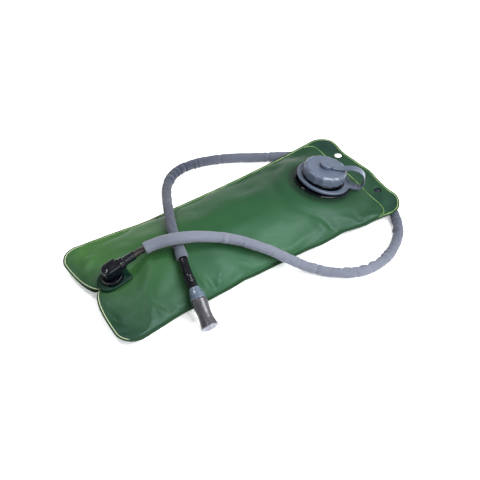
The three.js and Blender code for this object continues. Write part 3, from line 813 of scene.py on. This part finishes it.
# ---- The drink tube and its sleeve
class Line:
    """The tube's centreline with a frame at every step that turns as little as it can."""

    def __init__(self, points, step=0.8):
        rough = smooth_line(points, 2000)
        self.length = float(np.linalg.norm(np.diff(rough, axis=0), axis=1).sum())
        self.points = smooth_line(points, int(self.length / step) + 1)
        self.at = np.linspace(0, self.length, len(self.points))
        self.along = unit(np.gradient(self.points, axis=0))
        side = np.cross(self.along[0], (0, 0, 1))
        sides = []
        for direction in self.along:
            side = side - direction * (side @ direction)
            side /= np.linalg.norm(side)
            sides.append(side)
        self.side = np.array(sides)
        self.up = np.cross(self.along, self.side)
        self.bend = np.gradient(self.along, self.at, axis=0)

    def sample(self, values, s):
        return np.stack([np.interp(s, self.at, values[:, k]) for k in range(3)], axis=-1)

    def rings(self, s, radii):
        """Points round the line: s holds one place per row, and radii one radius per row and angle."""
        count = radii.shape[1]
        angles = np.arange(count) * 2 * math.pi / count
        middle, side, up = (self.sample(v, s) for v in (self.points, self.side, self.up))
        cosine, sine = np.cos(angles)[None, :, None], np.sin(angles)[None, :, None]
        out = cosine * side[:, None, :] + sine * up[:, None, :]
        return middle[:, None, :] + radii[:, :, None] * out


LINE = Line(TUBE_ROUTE)
SLEEVE_FROM, SLEEVE_TO = SLEEVE["start"], LINE.length - SLEEVE["end"]


def drink_tube():
    sides = 24
    far_end = [LINE.length - 0.4, LINE.length, LINE.length]
    s = np.concatenate([[0, 0, 0.4], np.linspace(1, LINE.length - 1, 520), far_end])
    radii = np.full((len(s), sides), TUBE_RADIUS)
    radii[0] = radii[-1] = 2.6
    radii[1] = radii[-2] = TUBE_RADIUS - 0.3
    points = LINE.rings(s, radii).reshape(-1, 3)
    tube = make_mesh("hose_tube", points, grid_faces(len(s), sides), TUBE)
    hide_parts("drink_tube")
    return tube


def crease_depth(s):
    """Sharp rings where the loose sleeve has folded on itself."""
    total = 0 * s
    for at, depth in ((214, 0.35), (300, 0.5), (655, 0.9), (722, 0.8), (770, 0.6), (840, 0.5)):
        total = total - depth * bump(s - at, 1.5) + 0.5 * depth * bump(s - at - 3.2, 2.4)
    return total


def sleeve_radii(s, sides):
    """The sleeve's outer radius: slack cloth that gathers into scallops on the inside of each bend."""
    angles = np.arange(sides) * 2 * math.pi / sides
    bend, side, up = (LINE.sample(v, s) for v in (LINE.bend, LINE.side, LINE.up))
    inner = np.arctan2((bend * up).sum(1), (bend * side).sum(1))
    bent = smooth(np.linalg.norm(bend, axis=1) * 62 - 0.25)
    amount = bent * smooth((s - SLEEVE_FROM - GATHERS["from"]) / GATHERS["over"])
    drift = np.array([noise.noise(Vector((v / 30, 1.7, 0))) for v in s])
    scallop = np.abs(np.sin(math.pi * (s / GATHERS["pitch"] + 1.1 * drift))) ** 0.6
    facing = (0.5 + 0.5 * np.cos(angles[None, :] - inner[:, None])) ** 1.6
    gathered = (amount * (scallop * GATHERS["height"] - GATHERS["sunk"]))[:, None] * facing
    ripple = np.empty((len(s), sides))
    for i, v in enumerate(s):
        for j, a in enumerate(angles):
            spot = Vector((v / 13, 1.3 * math.cos(a), 1.3 * math.sin(a)))
            ripple[i, j] = noise.noise(spot) * 0.65 + noise.noise(spot * 2.6) * 0.3
    seam = 0.4 * bump(np.angle(np.exp(1j * (angles - 2.2))), 0.16)
    slack = 1.0 * (1 - smooth((s - SLEEVE_FROM - 20) / 110)) + 0.9 * (1 - smooth((SLEEVE_TO - s) / 30))
    calm = 0.3 + 0.7 * smooth((s - SLEEVE_FROM - 60) / 120) * smooth((SLEEVE_TO - s - 10) / 30)
    creased = (crease_depth(s) + slack)[:, None]
    radii = SLEEVE["radius"] + gathered + ripple * calm[:, None] + creased + seam[None, :]
    return np.maximum(radii, TUBE_RADIUS + 0.8)


def kept_off_the_bag(points):
    """The cloth lies on the floor, is pressed flat under the header and rests on the film elsewhere."""
    x, y, z = points[:, :, 0], points[:, :, 1], points[:, :, 2]
    inside = inset_from_edge(x, y) > 0
    upper, lower = upper_height(x, y), lower_height(x, y)
    above = z > (upper + lower) / 2
    z = np.where(inside & above, np.maximum(z, upper + 0.1), z)
    z = np.where(inside & ~above, np.minimum(z, lower - 0.2), z)
    points[:, :, 2] = np.maximum(z, 0.15)
    return points


def tube_sleeve():
    sides = 40
    step = 0.9
    outer_s = np.linspace(SLEEVE_FROM, SLEEVE_TO, int((SLEEVE_TO - SLEEVE_FROM) / step))
    outer = sleeve_radii(outer_s, sides)
    hem = 0.15 * (bump(outer_s - SLEEVE_FROM - 3, 3) + bump(outer_s - SLEEVE_TO + 3, 3))
    outer += hem[:, None]
    lip_in = np.full((1, sides), SLEEVE["inner"] + 0.1)
    lip_out = np.full((1, sides), 0.5 * (SLEEVE["inner"] + SLEEVE["radius"]) + 0.4)
    inner_s = np.linspace(SLEEVE_TO - 1, SLEEVE_FROM + 1, 640)
    inner = np.clip(sleeve_radii(inner_s, sides) - 0.7, TUBE_RADIUS + 0.1, SLEEVE["inner"])
    far_lip, near_lip = [SLEEVE_TO + 0.5, SLEEVE_TO + 0.3], [SLEEVE_FROM - 0.3, SLEEVE_FROM - 0.5]
    s = np.concatenate([outer_s, far_lip, inner_s, near_lip])
    radii = np.concatenate([outer, lip_out, lip_in, inner, lip_in, lip_out])
    points = kept_off_the_bag(LINE.rings(s, radii))
    faces = grid_faces(len(s), sides, wrap_rows=True)
    obj = make_mesh("hose_sleeve", points.reshape(-1, 3), faces, SLEEVE_CLOTH, tidy=False)
    around = np.arange(sides) / sides * 2 * math.pi * SLEEVE["radius"]
    thread = np.stack(np.broadcast_arrays(s[:, None], around[None, :], 0 * s[:, None]), axis=-1)
    mark(obj, "thread", thread)
    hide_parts("tube_sleeve")
    return obj


def bite_boot():
    """The rubber boot from the sleeve's end to the bite valve, with three low ribs before the valve."""
    start, end, sides = LINE.length - 38, LINE.length, 32
    s = np.linspace(start, end, 150)
    radius = BOOT_RADIUS + 0.5 * smooth((s - start - 10) / 22)
    for k in range(3):
        radius = radius + 0.5 * bump(s - (end - 7.5 - 3.1 * k), 0.9)
    radii = np.repeat(radius[:, None], sides, axis=1)
    ends = np.full((1, sides), TUBE_RADIUS + 0.1)
    s = np.concatenate([[start], s, [end]])
    radii = np.concatenate([ends, radii, ends])
    points = LINE.rings(s, radii).reshape(-1, 3)
    faces = grid_faces(len(s), sides, wrap_rows=True)
    return settle(make_mesh("hose_boot", points, faces, BLACK), "root", ["bite_boot"])


# ---- The bite valve
def bite_collar():
    outline = [
        (4.7, 0), (6.1, 0), (6.4, 0.6), (7.4, 5), (8.7, 9.5), (9.3, 14.4), (9.25, 15.7), (8.3, 15.7),
        (7.9, 9.6), (6.4, 7.6), (5.6, 3.2), (4.7, 2.6),
    ]
    return fitting("valve_collar", outline, 0.5, 48, VALVE, COLLAR, "root", "clear_plastic", "bite_collar")


def mouthpiece():
    profile = softened([
        (7.2, 10.2), (7.2, 15.9), (9.7, 15.9), (10.2, 17.2), (10, 19), (9.8, 23), (9, 29), (8.6, 35),
        (9.1, 41.5), (10.3, 47.5), (11.1, 50.6), (10.9, 52.2), (9.4, 52.7),
    ], 1.0, closed=False, steps=4)
    end = [(8.1, 52.9), (7.2, 52.2), (6, 51.9), (4, 51.8), (2, 51.8), (0.02, 51.8)]
    inside = [(0.02, 48), (6.4, 47), (5.4, 44), (4.5, 30), (4.4, 10.2)]
    body = turned("valve_mouthpiece", [*profile, *end, *inside], 64, VALVE, SILICONE)
    disc = [(0.02, 44), (0.02, 54), (6, 54), (6, 44)]
    slit = turned("slit", disc, 24, VALVE @ Matrix.Diagonal((1, 0.07, 1, 1)), SILICONE)
    cut = body.modifiers.new("slit", "BOOLEAN")
    cut.object, cut.operation, cut.solver = slit, "DIFFERENCE", "EXACT"
    apply_modifiers(body)
    bpy.data.objects.remove(slit)
    along = np.array([v.co for v in body.data.vertices]) / MM - VALVE_START
    height = along @ np.array(VALVE.col[2].to_3d())
    # marks the end face that gets the painted light
    mark(body, "tip_painted_light", smooth((height - 50.2) / 1.6))
    return settle(weigh_normals(body), "bite", ["mouthpiece"])


# ---- The filler: neck, cap and tether
def thread_ridge(name, wall, side, start, turns, material):
    """One helical ridge on a turned wall."""
    count = int(64 * turns)
    rows = []
    for k in range(count + 1):
        u = k / count
        angle = u * turns * 2 * math.pi
        run_out = float(mix(0.3, 1, smooth(min(u, 1 - u) * 8)))
        height = start + THREAD_PITCH * turns * u
        for depth, rise in ((-0.4, -1), (-0.4, 1), (1.3 * run_out, 0.45), (1.3 * run_out, -0.45)):
            radius = wall + side * depth
            rows.append((radius * math.cos(angle), radius * math.sin(angle), height + rise))
    faces = grid_faces(count + 1, 4)
    faces += [(0, 1, 2, 3), tuple(count * 4 + k for k in (3, 2, 1, 0))]
    return make_mesh(name, placed(rows, FILLER), faces, material)


def filler_neck():
    profile = softened([
        (22.5, -1.5), (30, -1.5), (37.4, 0), (38, 1), (37.2, 2.2), (26.2, 2.2), (25.8, 2.8), (25.8, 8),
        (25, 8.8), (25, 19.8), (24.4, 20.3), (23, 20.3), (22.5, 19.8),
    ], 0.6)
    neck = turned("neck", profile, 96, FILLER, BLACK)
    ridge = thread_ridge("ridge", 25, 1, 11.5, 1.5, BLACK)
    return settle(joined("filler_ring", [neck, ridge]), "root", ["filler_neck"])


def cap_shell():
    pitch = 2 * math.pi / CAP_FACETS

    def faceted(radii, angles, height):
        """Flat facets with rounded arrises, from the skirt over the shoulder to the top's edge."""
        off_middle = ((angles / pitch) % 1 - 0.5) * pitch
        flat = (1 - 1 / np.cos(off_middle)) + (1 / math.cos(pitch / 2) - 1)
        rounding = 0.35 * bump(np.abs(off_middle) - pitch / 2, 0.05)
        outside_only = smooth((radii - 24.5) / 3) if height > 22.4 else smooth(radii - 27.7)
        return radii - (flat * CAP_RADIUS * FACET_DEPTH + rounding) * outside_only

    outside = softened([
        (27.3, CAP_SKIRT), (28.9, CAP_SKIRT), (29.4, 12), (29.4, 20.8), (28.6, 22.3), (26.6, 23.7),
        (25.4, CAP_TOP),
    ], 0.6, closed=False)
    top = [(24, CAP_TOP + 0.05), (18, CAP_TOP + 0.1), (9, CAP_TOP + 0.1), (3.4, CAP_TOP)]
    inside = [(3.4, 21.6), (26.6, 21.6), (27, 21.2)]
    shell = turned("shell", [*outside, *top, *inside], 256, FILLER, SLATE, shape=faceted)
    ridge = thread_ridge("ridge", 27, -1, 13.5, 1, SLATE)
    return settle(joined("cap", [shell, ridge]), "cap", ["cap_shell"])


def cap_button():
    outline = [
        (0.02, 20), (5, 20), (5, 21.3), (3.2, 21.3), (3.2, 27.1), (8.6, 27.1), (8.7, 28.5), (8.1, 29),
        (0.02, 29.15),
    ]
    names = ("cap", "slate_plastic", "cap_button")
    return fitting("cap_rivet", outline, 0.4, 64, FILLER, SLATE, *names, closed=False)


def tether_eye():
    outline = [(3.5, 24.7), (8.2, 24.7), (8.2, 26.8), (3.5, 26.8)]
    return fitting("strap_eye", outline, 0.5, 48, FILLER, SLATE, "tether_end", "slate_plastic", "tether_eye")


def tether_ring():
    """The ring round the neck, whose outer part draws out into the tab that the strap starts from."""

    def drawn_out(radii, angles, height):
        off = np.abs(np.angle(np.exp(1j * angles)))
        reach = np.minimum(TAB["reach"], TAB["half_width"] / np.maximum(np.sin(np.minimum(off, 1.4)), 0.02))
        swell = np.log(np.exp((reach - RING_OUTER) * TAB["blend"]) + 1) / TAB["blend"]
        swell = np.where(off < 1.0, np.minimum(swell, TAB["swell"]), 0)
        return radii + swell * smooth((radii - 30.5) / 5)

    profile = softened([
        (28.6, 3), (35.4, 3), (36, 3.6), (36, 5.9), (35.4, 6.7), (34.4, 6.7), (33.6, 5.2), (31.4, 4.7),
        (28.6, 4.7),
    ], 0.5)
    ring = turned("strap_ring", profile, 288, RING, SLATE, shape=drawn_out)
    return settle(ring, "tether", ["tether_ring"])


STRAP_LINE = [
    (7, 25.7), (18, 26.6), (26, 28.6), (34, 30.8), (42, 30.2), (49, 26), (52.6, 19), (52.8, 12),
    (50.6, 6.2), (45.6, 2.9),
]


def tether_strap():
    """A flat strap with rounded edges that leaves the eye, clears the cap and folds down to the tab."""
    line = smooth_line([Vector((x, 0, z)) for x, z in STRAP_LINE], 70)
    along = unit(np.gradient(line, axis=0))
    out = np.stack([-along[:, 2], 0 * along[:, 0], along[:, 0]], axis=1)
    half, thick = 5.4, 0.9
    section = softened([(-half, -thick), (half, -thick), (half, thick), (-half, thick)], 0.7, steps=4)
    across = np.array([0, 1.0, 0])
    rows = [line + y * across + w * out for y, w in section]
    points = np.stack(rows, axis=1).reshape(-1, 3)
    count = len(section)
    faces = grid_faces(len(line), count)
    faces += [tuple(range(count)), tuple((len(line) - 1) * count + k for k in reversed(range(count)))]
    strap = weigh_normals(make_mesh("strap", placed(points, TETHER), faces, SLATE))
    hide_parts("tether_strap")
    apply_modifiers(strap)
    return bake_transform(strap)


# ---- The outlet: patch, socket and elbow
def u_outline(radius, back, front, corner, inset, arc=20, turn=6):
    """A half circle towards -X closed by a square front with rounded corners, drawn in by inset."""
    radius, front, corner = radius - inset, front - inset, max(corner - inset, 0.4)
    points = []
    for k in range(arc + 1):
        angle = math.pi / 2 + math.pi * k / arc
        points.append((back + radius * math.cos(angle), radius * math.sin(angle)))
    for centre_y, from_angle in ((corner - radius, -math.pi / 2), (radius - corner, 0)):
        for k in range(turn + 1):
            angle = from_angle + math.pi / 2 * k / turn
            points.append((front - corner + corner * math.cos(angle), centre_y + corner * math.sin(angle)))
    return points


def stacked(name, levels, plan, matrix, material):
    """A solid from one outline drawn in by a different inset at each height."""
    outlines = [u_outline(**plan, inset=inset) for inset, _ in levels]
    count = len(outlines[0])
    points = [(x, y, height) for outline, (_, height) in zip(outlines, levels) for x, y in outline]
    faces = grid_faces(len(levels), count)
    faces += [tuple(reversed(range(count))), tuple((len(levels) - 1) * count + k for k in range(count))]
    return weigh_normals(make_mesh(name, placed(points, matrix), faces, material))


def outlet_patch():
    """The welded base, stepped by fine ridges that follow its outline."""
    levels = [(0.0, -1.9), (0.0, -0.5), (0.35, 0.0), (1.3, 0.0)]
    for inset in (1.6, 3.6, 5.6, 7.6):
        for further, height in ((0, 0.65), (0.3, 0.85), (0.9, 0.85), (1.2, 0.65), (1.5, 0.1)):
            levels.append((inset + further, height))
    levels += [(10, 0.1), (12, 0.1)]
    piece = stacked("outlet_base", levels, PATCH_PLAN, OUTLET, PATCH)
    return settle(piece, "root", ["outlet_patch"])


def outlet_socket():
    outline = [
        (7, 0), (13.9, 0), (13.9, 4.6), (13.5, 5.9), (12.9, 6.8), (12.1, 6.6), (11.5, 5.8), (7.3, 5.6),
    ]
    return fitting("outlet_ring", outline, 0.5, 72, OUTLET, BLACK, "root", "black_plastic", "outlet_socket")


def elbow():
    """A barrel in the socket, a U-shaped block with a rounded crown, a spigot and a latch behind it."""
    block = [
        (1.0, 7.4), (0.25, 7.9), (0, 8.6), (0, 19.2), (0.25, 20.4), (0.9, 21.3), (1.9, 21.9), (3.2, 22.1),
    ]
    body = stacked("block", block, {**ELBOW_PLAN, "corner": 1.6}, ELBOW, BLACK)
    recess = [(3.4, 21.9), (3.5, 22.5), (3.9, 22.8), (5, 22.9)]
    crown = stacked("crown", recess, {**ELBOW_PLAN, "corner": 2.4}, ELBOW, BLACK)
    behind = ELBOW @ Matrix.Translation((-1.5, 0, 15.4)) @ turn_about("Y", -90)
    pieces = [body, crown]
    for name, outline, radius, segments, matrix in (
        ("barrel", [(0.02, 1), (6.4, 1), (6.4, 6.2), (8.2, 6.2), (8.2, 8), (0.02, 8)], 0.4, 48, ELBOW),
        ("spigot", [(0.02, 10), (4.4, 10), (4.4, 20.7), (0.02, 20.7)], 0.3, 32, SPIGOT),
        ("latch", [(0.02, 6), (3.1, 6), (3.1, 8.9), (2.6, 9.4), (0.02, 9.6)], 0.4, 32, behind),
    ):
        pieces.append(turned(name, softened(outline, radius, closed=False), segments, matrix, BLACK))
    piece = joined("elbow", pieces)
    return settle(piece, "elbow", ["elbow_body"])


def hose_nut():
    outline = [
        (4.9, 12.3), (7.1, 12.3), (7.6, 12.8), (7.6, 14.3), (6.9, 14.9), (6.9, 16.8), (7.5, 17.4),
        (7.5, 18.6), (6.9, 19.3), (4.9, 19.3),
    ]
    return fitting("elbow_nut", outline, 0.3, 40, SPIGOT, BLACK, "elbow", "black_plastic", "hose_nut")


def outlet_boot():
    outline = [(4.5, 19.6), (5.3, 19.6)]
    for k in range(4):
        at = 20.4 + 2.9 * k
        outline += [(5.3, at), (5.8, at + 0.6), (5.8, at + 1.3), (5.3, at + 1.9)]
    outline += [(5.3, 32.4), (5.6, 33), (5.6, 34.2), (5.2, 34.6), (4.5, 34.6)]
    return fitting("elbow_boot", outline, 0.25, 36, SPIGOT, BLACK, "elbow", "black_plastic", "outlet_boot")


# ---- Stage, light and camera
def floor():
    look = Look("pale_floor", 0.9)
    look.color(look.blend((0.95, 0.95, 0.95), (0.96, 0.96, 0.96), look.noise(4)))
    look.shader.inputs["Emission Color"].default_value = (1, 1, 1, 1)
    look.shader.inputs["Emission Strength"].default_value = 0.35
    half = 6000
    corners = [(-half, -half, 0), (half, -half, 0), (half, half, 0), (-half, half, 0)]
    plane = make_mesh("floor", corners, [(0, 1, 2, 3)], look.material)
    plane.location.z = CAD_BOX[0].z - 0.0002


def soft_light(name, direction, distance, size, watts, color):
    lamp = bpy.data.lights.new(name, "AREA")
    lamp.shape, lamp.size, lamp.energy, lamp.color = "DISK", size, watts, color
    obj = added(name, lamp)
    away = Vector(direction).normalized()
    obj.location = away * distance
    obj.rotation_euler = away.to_track_quat("Z", "Y").to_euler()


def lights():
    """A white room that is dimmer past the outlet end and the far side, and four lamps."""
    world = bpy.data.worlds.new("studio")
    world.use_nodes = True
    nodes, links = world.node_tree.nodes, world.node_tree.links
    direction = nodes.new("ShaderNodeSeparateXYZ")
    links.new(nodes.new("ShaderNodeTexCoord").outputs["Generated"], direction.inputs["Vector"])
    toward_key = nodes.new("ShaderNodeMath")
    toward_key.operation = "MULTIPLY_ADD"
    links.new(direction.outputs["Y"], toward_key.inputs[0])
    toward_key.inputs[1].default_value = -0.6
    links.new(direction.outputs["X"], toward_key.inputs[2])
    dimmer = nodes.new("ShaderNodeMapRange")
    links.new(toward_key.outputs["Value"], dimmer.inputs["Value"])
    for name, value in (("From Min", -1.0), ("From Max", 0.8), ("To Min", 0.25), ("To Max", 0.9)):
        dimmer.inputs[name].default_value = value
    links.new(dimmer.outputs["Result"], nodes["Background"].inputs["Strength"])
    nodes["Background"].inputs["Color"].default_value = (1, 1, 1, 1)
    bpy.context.scene.world = world
    for lamp in LAMPS:
        soft_light(*lamp)


def camera():
    azimuth, elevation, roll = (math.radians(CAMERA[name]) for name in ("azimuth", "elevation", "roll"))
    data = bpy.data.cameras.new("camera")
    data.lens, data.sensor_width = CAMERA["lens"], 36
    data.clip_start, data.clip_end = 0.05, 30
    eye = added("camera", data)
    level, rise = math.cos(elevation), math.sin(elevation)
    back = Vector((math.sin(azimuth) * level, -math.cos(azimuth) * level, rise))
    right = Vector((math.cos(azimuth), math.sin(azimuth), 0))
    up = back.cross(right)
    right, up = right * math.cos(roll) + up * math.sin(roll), up * math.cos(roll) - right * math.sin(roll)
    turn = Matrix((right, up, back)).transposed().to_4x4()
    eye.matrix_world = Matrix.Translation(CAMERA_TARGET + back * CAMERA["distance"]) @ turn
    bpy.context.scene.camera = eye
    bpy.context.scene.view_settings.view_transform = "Standard"


# ---- The whole
def carried_over_nodes():
    """The small inner pieces keep their CAD shape and get a finished material."""
    seals = [(node, SEAL) for node in ("cap_gasket", "elbow_seal", "bite_seal")]
    for node, look in (*seals, ("bite_stem", COLLAR)):
        mesh = frame["nodes"][node].data
        mesh.materials.clear()
        mesh.materials.append(look)


def cords(valve_pieces):
    tube, sleeve = drink_tube(), tube_sleeve()
    for cord in (tube, sleeve):
        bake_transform(cord)


def films():
    settle_film()
    for sheet in (upper_film(), lower_film()):
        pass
    weld_beads()


camera()
lights()
floor()
films()
cords([bite_boot(), bite_collar(), mouthpiece()])
for build in (filler_neck, cap_shell, cap_button, tether_eye, tether_ring, tether_strap):
    build()
for build in (outlet_patch, outlet_socket, elbow, hose_nut, outlet_boot):
    build()
carried_over_nodes()
